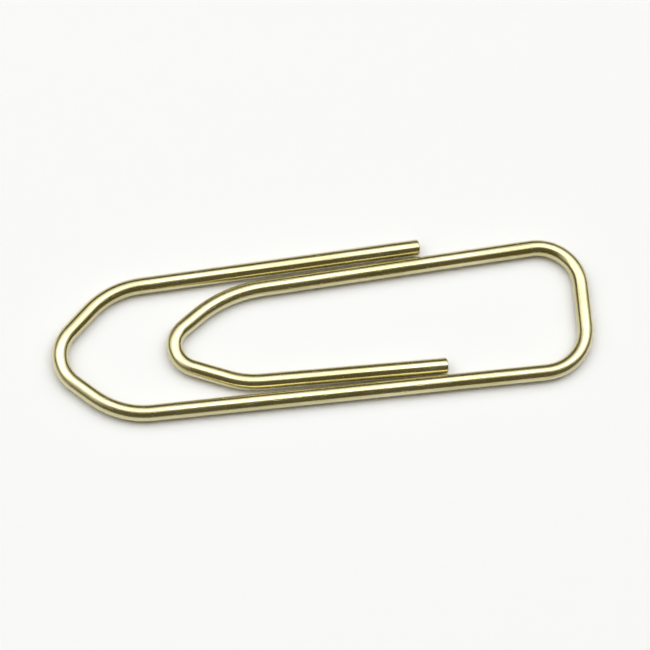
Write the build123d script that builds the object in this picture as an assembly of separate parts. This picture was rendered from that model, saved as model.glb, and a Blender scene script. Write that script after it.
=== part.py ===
from build123d import *

import os
from math import cos, pi, radians, sin, tan

# A pointed paper clip, bent flat from one length of round wire.
# From its open end the wire runs along the open leg, round the outer point and down the long leg.
# It crosses over at the square end and comes back as the inner leg, which turns at the tongue's
# point and ends as the short leg, close beside the long leg.
# The clip lies on XY, with the outer point towards -X, the square end towards +X and the open leg
# towards +Y. In use the back bar of the square end twists, so the outer loop and the tongue are
# two bodies that meet face to face in the middle of that bar.
# Lengths are in millimetres, angles in degrees, and bend radii are those of the wire's middle line.

# Wire, drawn round and sheared square at both ends
wire_diameter = 0.95
sheared_edge_radius = 0.06

# Square end, with its length and width over the outside of the wire
clip_length = 31.45
square_end_width = 8.7
long_corner_radius = 2.8
inner_corner_radius = 2.4
back_bar_slant = 4.4          # leans out towards the inner leg

# Legs that lie side by side: each gap is clear, from wire to wire at the free end
inner_leg_splay = 3.1         # opens from the long leg towards the square end
open_leg_splay = 2.6
open_leg_gap = 0.14
open_end_setback = 9.55       # from the outside of the square end
short_leg_closing = 0.9       # closes on the long leg towards the short end
short_leg_gap = 0.07
short_end_setback = 9.15

# Both points lie on one line along the clip, a little nearer to the long leg
point_line_share = 0.48

# Outer point, blunt, with two nearly equal straight sides
open_side_slope = 42.4
long_side_slope = 44.3
outer_point_radius = 2.1
open_shoulder_radius = 4.8
long_shoulder_radius = 4.5

# Tongue's point, slimmer, behind the outer point
point_spacing = 6.5
inner_side_slope = 35.0
short_side_slope = 23.5
tongue_point_radius = 1.4
inner_shoulder_radius = 7.5
short_shoulder_radius = 4.9


def beside(point, heading, distance):
    """The point set off to the left of a heading, or to the right where the distance is negative."""
    return point + Vector(-sin(radians(heading)), cos(radians(heading))) * distance


def stretch(point, heading):
    """A straight stretch of wire through a point, with its heading measured from +X."""
    return Axis(point, Vector(cos(radians(heading)), sin(radians(heading))))


def bend_wire(corners, radii, free_end):
    """Round wire along straight stretches with a bend at each inner corner, sheared at its free end."""
    route = FilletPolyline(*corners, radius=radii)
    section = Plane(origin=route @ 0, z_dir=route % 0) * Circle(wire_radius)
    wire = sweep(section, path=route)
    sheared_face = wire.faces().sort_by_distance(free_end)[0]
    wire = fillet(sheared_face.edges(), sheared_edge_radius)
    swept_volume = pi * wire_radius**2 * route.length
    print("wire length", route.length, "volume over section times length", wire.volume / swept_volume)
    return wire


# Working plane: X from the outside of the outer point, Y and Z from the middle of the long leg
wire_radius = wire_diameter / 2
point_line = point_line_share * (square_end_width - wire_diameter)

# Legs and back bar, laid off from the round of the square end's corner at the inner leg
square_round = Vector(
    clip_length - wire_radius - inner_corner_radius,
    square_end_width - wire_diameter - inner_corner_radius,
)
bar_heading = 90 - back_bar_slant
bar_top = beside(square_round, bar_heading, -inner_corner_radius)
back_bar = stretch(bar_top, bar_heading)
inner_leg = stretch(beside(square_round, inner_leg_splay, inner_corner_radius), inner_leg_splay)
long_leg = stretch(Vector(0, 0), 0)
long_corner = long_leg.intersect(back_bar)
inner_corner = back_bar.intersect(inner_leg)
bar_bottom = long_corner + back_bar.direction * long_corner_radius * tan(radians(bar_heading / 2))
bar_middle = (bar_bottom + bar_top) / 2

# Open leg beside the inner leg, and short leg beside the long leg
abreast_of_open_end = stretch(Vector(clip_length - open_end_setback, 0), 90).intersect(inner_leg)
open_end = beside(abreast_of_open_end, inner_leg_splay, wire_diameter + open_leg_gap)
open_leg = stretch(open_end, open_leg_splay)
short_end = Vector(clip_length - short_end_setback, wire_diameter + short_leg_gap)
short_leg = stretch(short_end, -short_leg_closing)

# Sides of the outer point, touching its round nose
outer_nose = Vector(wire_radius + outer_point_radius, point_line)
open_side = stretch(beside(outer_nose, open_side_slope, outer_point_radius), open_side_slope)
long_side = stretch(beside(outer_nose, -long_side_slope, -outer_point_radius), -long_side_slope)

# Sides of the tongue's point, touching its round nose
tongue_nose = Vector(wire_radius + point_spacing + tongue_point_radius, point_line)
inner_side = stretch(beside(tongue_nose, inner_side_slope, tongue_point_radius), inner_side_slope)
short_side = stretch(beside(tongue_nose, -short_side_slope, -tongue_point_radius), -short_side_slope)

# Outer loop: open leg, outer point, long leg and the near half of the back bar
outer_loop = bend_wire(
    [
        open_end,
        open_leg.intersect(open_side),
        open_side.intersect(long_side),
        long_side.intersect(long_leg),
        long_corner,
        bar_middle,
    ],
    [open_shoulder_radius, outer_point_radius, long_shoulder_radius, long_corner_radius],
    open_end,
)

# Tongue: far half of the back bar, inner leg, tongue's point and short leg
tongue = bend_wire(
    [
        bar_middle,
        inner_corner,
        inner_leg.intersect(inner_side),
        inner_side.intersect(short_side),
        short_side.intersect(short_leg),
        short_end,
    ],
    [inner_corner_radius, inner_shoulder_radius, tongue_point_radius, short_shoulder_radius],
    short_end,
)

# Origin in the middle of the clip's outline, on the surface that it lies on
outline = Compound([outer_loop, tongue]).bounding_box()
seat = Pos(-outline.center().X, -outline.center().Y, -outline.min.Z)

os.makedirs("parts", exist_ok=True)
export_step(seat * outer_loop, "parts/outer_loop.step")
export_step(seat * tongue, "parts/tongue.step")

# The tongue turns about the back bar's own middle line
print("back bar turns about", (seat * Pos(bar_middle)).position, "along", back_bar.direction)
print("overall size", outline.size)
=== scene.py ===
from math import atan2, ceil, copysign, cos, pi, radians, sin, tan

import bmesh
import bpy
from mathutils import Matrix, Vector
from mathutils.geometry import intersect_line_line


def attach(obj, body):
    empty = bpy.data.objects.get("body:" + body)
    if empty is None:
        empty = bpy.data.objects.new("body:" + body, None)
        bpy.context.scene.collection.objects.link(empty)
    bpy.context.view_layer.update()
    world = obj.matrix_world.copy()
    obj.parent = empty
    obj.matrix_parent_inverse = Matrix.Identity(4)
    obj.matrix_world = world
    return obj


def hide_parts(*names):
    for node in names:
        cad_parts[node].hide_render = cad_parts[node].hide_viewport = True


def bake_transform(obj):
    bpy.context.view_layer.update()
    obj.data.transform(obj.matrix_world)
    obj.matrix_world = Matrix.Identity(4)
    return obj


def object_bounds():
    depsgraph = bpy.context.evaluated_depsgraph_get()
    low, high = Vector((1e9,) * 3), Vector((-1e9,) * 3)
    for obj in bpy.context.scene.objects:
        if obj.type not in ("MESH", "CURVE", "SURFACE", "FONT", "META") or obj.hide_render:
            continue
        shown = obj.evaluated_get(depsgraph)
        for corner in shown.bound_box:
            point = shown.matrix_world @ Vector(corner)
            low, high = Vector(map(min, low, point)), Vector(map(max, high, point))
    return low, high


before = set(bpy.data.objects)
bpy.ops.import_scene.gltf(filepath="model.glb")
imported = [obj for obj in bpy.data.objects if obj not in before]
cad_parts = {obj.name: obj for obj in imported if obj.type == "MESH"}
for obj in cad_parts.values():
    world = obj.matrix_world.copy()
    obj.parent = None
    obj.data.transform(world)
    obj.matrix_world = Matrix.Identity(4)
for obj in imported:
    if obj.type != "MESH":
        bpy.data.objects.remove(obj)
cad_low, cad_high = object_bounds()

# Outer loop: the longer arm of the one wire that the clip is bent from, round low-carbon steel that is
# drawn hard and plated with brass. It is sheared off a coil and bent flat round pins: open leg, outer
# point, long leg and the near corner of the square end.

mm = 0.001
wire_diameter = 0.95 * mm
clip_length = 31.45 * mm
square_end_width = 8.7 * mm
long_corner_radius = 2.8 * mm
inner_corner_radius = 2.4 * mm
bar_heading = radians(85.6)
inner_leg_heading = radians(3.1)
open_leg_heading = radians(2.6)
open_leg_gap = 0.14 * mm
open_end_setback = 9.55 * mm
point_line_share = 0.48
open_side_heading = radians(42.4)
long_side_heading = radians(-44.3)
outer_point_radius = 2.1 * mm
open_shoulder_radius = 4.8 * mm
long_shoulder_radius = 4.5 * mm
bar_lead = 0.6 * mm                # straight wire between a corner of the square end and the bar's own piece
station_spacing = 0.8 * mm         # mesh step on straight stretches
bend_step = radians(3.5)           # mesh step round bends

# The wire's middle plane has X from the outside of the outer point and Y from the middle of the long leg.
wire_radius = wire_diameter / 2
wire_origin = Vector((-clip_length / 2, cad_low.y + wire_radius, wire_radius))
point_line = point_line_share * (square_end_width - wire_diameter)


def on_wire_plane(x, y):
    """A point in the middle plane of the wire."""
    return wire_origin + Vector((x, y, 0))


def towards(heading):
    """The direction of a heading, which is measured from +X."""
    return Vector((cos(heading), sin(heading), 0))


def beside(point, heading, distance):
    """The point set off to the left of a heading, or to the right where the distance is negative."""
    return point + towards(heading + pi / 2) * distance


def crossing(stretch, other):
    """Where two straight stretches of wire, each a point and a heading, would meet if they ran on."""
    (point, heading), (other_point, other_heading) = stretch, other
    return intersect_line_line(
        point, point + towards(heading), other_point, other_point + towards(other_heading)
    )[0]


def places_between(start, end):
    """Evenly spaced places along a straight stretch, without its two ends."""
    steps = max(2, ceil((end - start).length / station_spacing))
    return [start.lerp(end, step / steps) for step in range(1, steps)]


def bend_round_pins(corners, radii):
    """Places along a wire bent at each inner corner, with the direction and leftward curvature of each."""
    stations = [(corners[0], (corners[1] - corners[0]).normalized(), 0)]
    for before, corner, after, radius in zip(corners, corners[1:], corners[2:], radii):
        arriving = (corner - before).normalized()
        leaving = (after - corner).normalized()
        turn = atan2(arriving.cross(leaving).z, arriving.dot(leaving))
        bend_start = corner - arriving * radius * tan(abs(turn) / 2)
        stations += [(place, arriving, 0) for place in places_between(stations[-1][0], bend_start)]
        spoke = Vector((arriving.y, -arriving.x, 0)) * copysign(radius, turn)
        steps = ceil(abs(turn) / bend_step)
        for step in range(steps + 1):
            swing = Matrix.Rotation(turn * step / steps, 3, "Z")
            # A bend eases in and out, so its first and last places have half its curvature.
            easing = 0.5 if step in (0, steps) else 1
            place = bend_start - spoke + swing @ spoke
            stations.append((place, swing @ arriving, easing * copysign(1 / radius, turn)))
    stations += [(place, leaving, 0) for place in places_between(stations[-1][0], corners[-1])]
    return stations + [(corners[-1], leaving, 0)]


square_round = on_wire_plane(
    clip_length - wire_radius - inner_corner_radius,
    square_end_width - wire_diameter - inner_corner_radius,
)
bar_top = beside(square_round, bar_heading, -inner_corner_radius)
back_bar = (bar_top, bar_heading)
long_leg = (on_wire_plane(0, 0), 0)
long_corner = crossing(long_leg, back_bar)
bar_bottom = long_corner + towards(bar_heading) * long_corner_radius * tan(bar_heading / 2)
bar_near_end = bar_bottom + towards(bar_heading) * bar_lead
bar_far_end = bar_top - towards(bar_heading) * bar_lead

inner_leg = (beside(square_round, inner_leg_heading, inner_corner_radius), inner_leg_heading)
abreast_of_open_end = crossing((on_wire_plane(clip_length - open_end_setback, 0), pi / 2), inner_leg)
open_end = beside(abreast_of_open_end, inner_leg_heading, wire_diameter + open_leg_gap)
open_leg = (open_end, open_leg_heading)
outer_nose = on_wire_plane(wire_radius + outer_point_radius, point_line)
open_side = (beside(outer_nose, open_side_heading, outer_point_radius), open_side_heading)
long_side = (beside(outer_nose, long_side_heading, -outer_point_radius), long_side_heading)

outer_loop_stations = bend_round_pins(
    [
        open_end,
        crossing(open_leg, open_side),
        crossing(open_side, long_side),
        crossing(long_side, long_leg),
        long_corner,
        bar_near_end,
    ],
    [open_shoulder_radius, outer_point_radius, long_shoulder_radius, long_corner_radius],
)

wire_sides = 48
sheared_edge_radius = 0.06 * mm
sheared_edge_steps = 4
sheared_face_slant = radians(5)
sheared_core_shares = (0.75, 0.5, 0.25)
bend_flattening_share = 0.16


def sheared_rows(end, outward, direction):
    """Rows over a sheared end: the rolled edge, then the slightly slanted face of the bare steel core."""
    rows = []
    for step in range(1, sheared_edge_steps + 1):
        roll = pi / 2 * step / sheared_edge_steps
        radius = wire_radius - sheared_edge_radius * (1 - cos(roll))
        place = end - outward * sheared_edge_radius * (1 - sin(roll))
        rows.append((place, direction, 0, radius, outward * tan(sheared_face_slant) * sin(roll), 0))
    for share in sheared_core_shares:
        radius = share * (wire_radius - sheared_edge_radius)
        rows.append((end, direction, 0, radius, outward * tan(sheared_face_slant), 1))
    return rows


def wire_piece(name, stations, length_before, sheared_start=False, sheared_end=False):
    """Round wire through the stations as one closed mesh, and the wire's length up to its far end."""
    rows = [(place, direction, bend, wire_radius, Vector(), 0) for place, direction, bend in stations]
    first_place, first_direction, _ = stations[0]
    last_place, last_direction, _ = stations[-1]
    if sheared_start:
        rows[0] = (first_place + first_direction * sheared_edge_radius,) + rows[0][1:]
        rows = sheared_rows(first_place, -first_direction, first_direction)[::-1] + rows
    if sheared_end:
        rows[-1] = (last_place - last_direction * sheared_edge_radius,) + rows[-1][1:]
        rows += sheared_rows(last_place, last_direction, last_direction)

    mesh = bmesh.new()
    drawn = mesh.verts.layers.float_vector.new("drawn")
    stretched = mesh.verts.layers.float.new("stretched")
    length_along = length_before
    rings = []
    for row, (place, direction, bend, radius, lean, finish) in enumerate(rows):
        length_along += (place - rows[max(0, row - 1)][0]).length
        left = Vector((-direction.y, direction.x, 0))
        ring = []
        for side in range(wire_sides):
            across = cos(2 * pi * side / wire_sides)
            height = sin(2 * pi * side / wire_sides)
            stretch = -bend * wire_radius * across
            flattened = radius * (1 - bend_flattening_share * max(0, stretch))
            spot = left * across * flattened + Vector((0, 0, height * radius)) + lean * height * radius
            point = mesh.verts.new(place + spot)
            point[drawn] = Vector((across * radius, height * radius, length_along)) / mm
            point[stretched] = stretch
            ring.append(point)
        rings.append(ring)

    for ring, next_ring, row, next_row in zip(rings, rings[1:], rows, rows[1:]):
        for side in range(wire_sides):
            after = (side + 1) % wire_sides
            face = mesh.faces.new((ring[side], ring[after], next_ring[after], next_ring[side]))
            face.smooth = True
            face.material_index = max(row[-1], next_row[-1])
    for ring, sheared in ((rings[0], sheared_start), (rings[-1], sheared_end)):
        face = mesh.faces.new(ring)
        face.material_index = int(sheared)
        face.smooth = sheared
        for edge in face.edges:
            edge.smooth = sheared
    bmesh.ops.recalc_face_normals(mesh, faces=mesh.faces)

    data = bpy.data.meshes.new(name)
    mesh.to_mesh(data)
    mesh.free()
    piece = bpy.data.objects.new(name, data)
    bpy.context.collection.objects.link(piece)
    return piece, length_along


def linear(hex_colour):
    """An sRGB hex colour as linear RGBA."""
    channels = [int(hex_colour[start:start + 2], 16) / 255 for start in (1, 3, 5)]
    return [c / 12.92 if c <= 0.04045 else ((c + 0.055) / 1.055) ** 2.4 for c in channels] + [1]


def add_node(tree, kind, inputs, **settings):
    """Adds a node with its settings, and with each input set to a value or linked from another node."""
    node = tree.nodes.new(kind)
    for name, value in settings.items():
        setattr(node, name, value)
    for name, value in inputs.items():
        if isinstance(value, bpy.types.NodeSocket):
            tree.links.new(value, node.inputs[name])
        else:
            node.inputs[name].default_value = value
    return node


def new_material(name):
    """A material with an empty node tree, and that tree."""
    material = bpy.data.materials.new(name)
    material.use_nodes = True
    material.node_tree.nodes.clear()
    return material, material.node_tree


# Bright brass plate on drawn steel, under a thin clear lacquer: a pale, slightly green yellow with a soft
# sheen and whiter highlights. The die leaves fine lines along the wire, the plating barrel leaves small
# scuffs, the plate is a little uneven, and it goes dull where a bend has stretched it.
# The patterns are laid out in the millimetres of the "drawn" places along and across the wire.
plated_wire, tree = new_material("lacquered_brass_plated_steel")
plate_dark = "#C9BF87"
plate_light = "#DDD4A6"
polished_roughness = 0.18
drawn_roughness = 0.28
lacquer_roughness = 0.15
line_spacing = 0.12                # mm, coarser than the die's lines, so that they show
line_length = 9.0                  # mm
line_depth = 0.018 * mm
cloud_width = 0.9                  # mm
cloud_length = 4.0                 # mm
scuff_width = 0.16                 # mm
scuff_length = 0.7                 # mm
scuff_depth = 0.006 * mm
scuff_dullness = 0.10
stretch_dullness = 0.10
wire_place = add_node(tree, "ShaderNodeAttribute", {}, attribute_name="drawn").outputs["Vector"]
stretch = add_node(tree, "ShaderNodeAttribute", {}, attribute_name="stretched").outputs["Fac"]
line_place = add_node(
    tree,
    "ShaderNodeMapping",
    {"Vector": wire_place, "Scale": (1 / line_spacing, 1 / line_spacing, 1 / line_length)},
)
lines = add_node(
    tree,
    "ShaderNodeTexNoise",
    {"Vector": line_place.outputs["Vector"], "Scale": 1, "Detail": 2, "Roughness": 0.6},
)
cloud_place = add_node(
    tree,
    "ShaderNodeMapping",
    {"Vector": wire_place, "Scale": (1 / cloud_width, 1 / cloud_width, 1 / cloud_length)},
)
clouds = add_node(
    tree,
    "ShaderNodeTexNoise",
    {"Vector": cloud_place.outputs["Vector"], "Scale": 1, "Detail": 3, "Roughness": 0.55},
)
scuff_place = add_node(
    tree,
    "ShaderNodeMapping",
    {"Vector": wire_place, "Scale": (1 / scuff_width, 1 / scuff_width, 1 / scuff_length)},
)
scuff_noise = add_node(
    tree,
    "ShaderNodeTexNoise",
    {"Vector": scuff_place.outputs["Vector"], "Scale": 1, "Detail": 2, "Roughness": 0.5},
)
scuffs = add_node(
    tree,
    "ShaderNodeMapRange",
    {"Value": scuff_noise.outputs["Fac"], "From Min": 0.60, "From Max": 0.72},
)
cloud_share = add_node(
    tree,
    "ShaderNodeMapRange",
    {"Value": clouds.outputs["Fac"], "From Min": 0.35, "From Max": 0.65},
)
# A Mix node takes its share at socket 0 and its two colours at sockets 6 and 7, and gives a colour at 2.
plate_tone = add_node(
    tree,
    "ShaderNodeMix",
    {0: cloud_share.outputs["Result"], 6: linear(plate_dark), 7: linear(plate_light)},
    data_type="RGBA",
)
line_tone = add_node(
    tree,
    "ShaderNodeMapRange",
    {"Value": lines.outputs["Fac"], "From Min": 0.3, "From Max": 0.7, "To Min": 0.82, "To Max": 1.12},
)
lined_plate = add_node(
    tree,
    "ShaderNodeMix",
    {0: 1.0, 6: plate_tone.outputs[2], 7: line_tone.outputs["Result"]},
    data_type="RGBA",
    blend_type="MULTIPLY",
)
line_gloss = add_node(
    tree,
    "ShaderNodeMapRange",
    {
        "Value": lines.outputs["Fac"],
        "From Min": 0.3,
        "From Max": 0.7,
        "To Min": drawn_roughness,
        "To Max": polished_roughness,
    },
)
bend_dullness = add_node(
    tree,
    "ShaderNodeMapRange",
    {"Value": stretch, "From Min": 0.04, "From Max": 0.22, "To Min": 0.0, "To Max": stretch_dullness},
)
bent_gloss = add_node(
    tree,
    "ShaderNodeMath",
    {0: line_gloss.outputs["Result"], 1: bend_dullness.outputs["Result"]},
    operation="ADD",
)
gloss = add_node(
    tree,
    "ShaderNodeMath",
    {0: scuffs.outputs["Result"], 1: scuff_dullness, 2: bent_gloss.outputs["Value"]},
    operation="MULTIPLY_ADD",
)
line_relief = add_node(
    tree,
    "ShaderNodeBump",
    {"Height": lines.outputs["Fac"], "Strength": 0.5, "Distance": line_depth},
)
scuff_relief = add_node(
    tree,
    "ShaderNodeBump",
    {
        "Height": scuffs.outputs["Result"],
        "Strength": 0.4,
        "Distance": scuff_depth,
        "Normal": line_relief.outputs["Normal"],
    },
    invert=True,
)
plate_surface = add_node(
    tree,
    "ShaderNodeBsdfPrincipled",
    {
        "Base Color": lined_plate.outputs[2],
        "Metallic": 1,
        "Roughness": gloss.outputs["Value"],
        "Coat Weight": 1,
        "Coat Roughness": lacquer_roughness,
        "Normal": scuff_relief.outputs["Normal"],
    },
)
add_node(tree, "ShaderNodeOutputMaterial", {"Surface": plate_surface.outputs["BSDF"]})

# Bare low-carbon steel where the shears went through: grey, torn across, with no plate on it.
sheared_steel, tree = new_material("sheared_bare_steel")
steel_dark = "#6E6A60"
steel_light = "#B4AE9C"
tear_width = 0.08                  # mm
tear_slimness = 0.35               # a tear's width over its length
tear_depth = 0.02 * mm
wire_place = add_node(tree, "ShaderNodeAttribute", {}, attribute_name="drawn").outputs["Vector"]
tear_place = add_node(
    tree,
    "ShaderNodeMapping",
    {"Vector": wire_place, "Scale": (1 / tear_width, tear_slimness / tear_width, 1 / tear_width)},
)
tears = add_node(
    tree,
    "ShaderNodeTexNoise",
    {"Vector": tear_place.outputs["Vector"], "Scale": 1, "Detail": 4, "Roughness": 0.65},
)
torn_tone = add_node(
    tree,
    "ShaderNodeMix",
    {0: tears.outputs["Fac"], 6: linear(steel_dark), 7: linear(steel_light)},
    data_type="RGBA",
)
torn_relief = add_node(
    tree,
    "ShaderNodeBump",
    {"Height": tears.outputs["Fac"], "Strength": 0.7, "Distance": tear_depth},
)
steel_surface = add_node(
    tree,
    "ShaderNodeBsdfPrincipled",
    {
        "Base Color": torn_tone.outputs[2],
        "Metallic": 1,
        "Roughness": 0.45,
        "Normal": torn_relief.outputs["Normal"],
    },
)
add_node(tree, "ShaderNodeOutputMaterial", {"Surface": steel_surface.outputs["BSDF"]})

outer_loop, length_to_bar = wire_piece("outer_loop_wire", outer_loop_stations, 0, sheared_start=True)
outer_loop.data.materials.append(plated_wire)
outer_loop.data.materials.append(sheared_steel)
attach(outer_loop, "outer_loop")
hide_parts("outer_loop")

# Back bar: the straight stretch of the same wire across the square end. It joins the two arms, and it is
# the spring of the clip: it twists when the tongue is lifted.

bar_steps = 16
bar_run = bar_far_end - bar_near_end
bar_stations = [
    (bar_near_end + bar_run * step / bar_steps, towards(bar_heading), 0) for step in range(bar_steps + 1)
]
bar, length_to_tongue = wire_piece("back_bar_wire", bar_stations, length_to_bar)
bar.data.materials.append(plated_wire)
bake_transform(bar)

# Tongue: the shorter arm of the wire, bent inside the outer loop. The inner leg runs back from the far
# corner of the square end, turns at the tongue's slimmer point and ends, sheared, as the short leg.

short_leg_heading = radians(-0.9)
short_leg_gap = 0.07 * mm
short_end_setback = 9.15 * mm
point_spacing = 6.5 * mm
inner_side_heading = radians(35)
short_side_heading = radians(-23.5)
tongue_point_radius = 1.4 * mm
inner_shoulder_radius = 7.5 * mm
short_shoulder_radius = 4.9 * mm

inner_corner = crossing(back_bar, inner_leg)
short_end = on_wire_plane(clip_length - short_end_setback, wire_diameter + short_leg_gap)
short_leg = (short_end, short_leg_heading)
tongue_nose = on_wire_plane(wire_radius + point_spacing + tongue_point_radius, point_line)
inner_side = (beside(tongue_nose, inner_side_heading, tongue_point_radius), inner_side_heading)
short_side = (beside(tongue_nose, short_side_heading, -tongue_point_radius), short_side_heading)

tongue_stations = bend_round_pins(
    [
        bar_far_end,
        inner_corner,
        crossing(inner_leg, inner_side),
        crossing(inner_side, short_side),
        crossing(short_side, short_leg),
        short_end,
    ],
    [inner_corner_radius, inner_shoulder_radius, tongue_point_radius, short_shoulder_radius],
)
tongue, _ = wire_piece("tongue_wire", tongue_stations, length_to_tongue, sheared_end=True)
tongue.data.materials.append(plated_wire)
tongue.data.materials.append(sheared_steel)
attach(tongue, "tongue")
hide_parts("tongue")

# Table: the smooth surface that the clip lies on, a board faced with white laminate. Only its top is made,
# and it reaches past the picture on all sides.

table_side = 4.0                   # m
laminate_colour = "#F6F6F4"
laminate_roughness = 0.6
table_data = bpy.data.meshes.new("table")
half = table_side / 2
table_data.from_pydata(
    [(-half, -half, 0), (half, -half, 0), (half, half, 0), (-half, half, 0)],
    [],
    [(0, 1, 2, 3)],
)
table = bpy.data.objects.new("table", table_data)
bpy.context.collection.objects.link(table)
table_white, tree = new_material("white_laminate")
laminate = add_node(
    tree,
    "ShaderNodeBsdfPrincipled",
    {"Base Color": linear(laminate_colour), "Roughness": laminate_roughness},
)
add_node(tree, "ShaderNodeOutputMaterial", {"Surface": laminate.outputs["BSDF"]})
table_data.materials.append(table_white)

# Studio light: a wide soft box over the table, a little behind the clip and brighter in its middle, with
# a weak one to the left of the clip, in a dim and warm room.

lamp_colour = "#F8FAFF"
room_colour = "#FFF0BE"
room_level = 0.12


def soft_box(name, azimuth, elevation, distance, width, height, brightness):
    """A soft box that faces the clip, with its sizes in metres and its azimuth from +Y towards +X."""
    data = bpy.data.lights.new(name, "AREA")
    data.shape = "RECTANGLE"
    data.size = width
    data.size_y = height
    data.energy = brightness * pi * width * height
    data.color = linear(lamp_colour)[:3]
    box = bpy.data.objects.new(name, data)
    flat = cos(elevation) * distance
    box.location = Vector((sin(azimuth) * flat, cos(azimuth) * flat, sin(elevation) * distance))
    box.rotation_euler = (-box.location).to_track_quat("-Z", "Y").to_euler()
    bpy.context.collection.objects.link(box)


soft_box(
    "overhead_soft_box",
    azimuth=radians(4),
    elevation=radians(73),
    distance=1.00,
    width=3.40,
    height=1.24,
    brightness=1.28,
)
soft_box(
    "soft_box_middle",
    azimuth=radians(4),
    elevation=radians(78),
    distance=0.98,
    width=1.60,
    height=0.54,
    brightness=1.60,
)
soft_box(
    "left_soft_box",
    azimuth=radians(-108),
    elevation=radians(45),
    distance=1.20,
    width=0.80,
    height=0.80,
    brightness=0.50,
)

studio = bpy.data.worlds.new("studio")
studio.use_nodes = True
tree = studio.node_tree
tree.nodes.clear()
room = add_node(tree, "ShaderNodeBackground", {"Color": linear(room_colour), "Strength": room_level})
add_node(tree, "ShaderNodeOutputWorld", {"Surface": room.outputs["Background"]})
bpy.context.scene.world = studio

# Camera: it stands where the photograph was taken from, turned to the middle of the clip and drawn closer
# by its lens, with the long leg rising to the right as it does there.

camera_stand = Vector((-28.0, -63.6, 161.5)) * mm
picture_right = Vector((0.9945, -0.1050, 0))
clip_middle = (cad_low + cad_high) / 2

camera_data = bpy.data.cameras.new("camera")
camera_data.lens = 170
camera_data.clip_start = 0.01
camera = bpy.data.objects.new("camera", camera_data)
sight = (clip_middle - camera_stand).normalized()
right = (picture_right - sight * picture_right.dot(sight)).normalized()
turned = Matrix((right, right.cross(sight), -sight)).transposed()
camera.matrix_world = Matrix.Translation(camera_stand) @ turned.to_4x4()
bpy.context.collection.objects.link(camera)
bpy.context.scene.camera = camera
bpy.context.scene.view_settings.view_transform = "Standard"
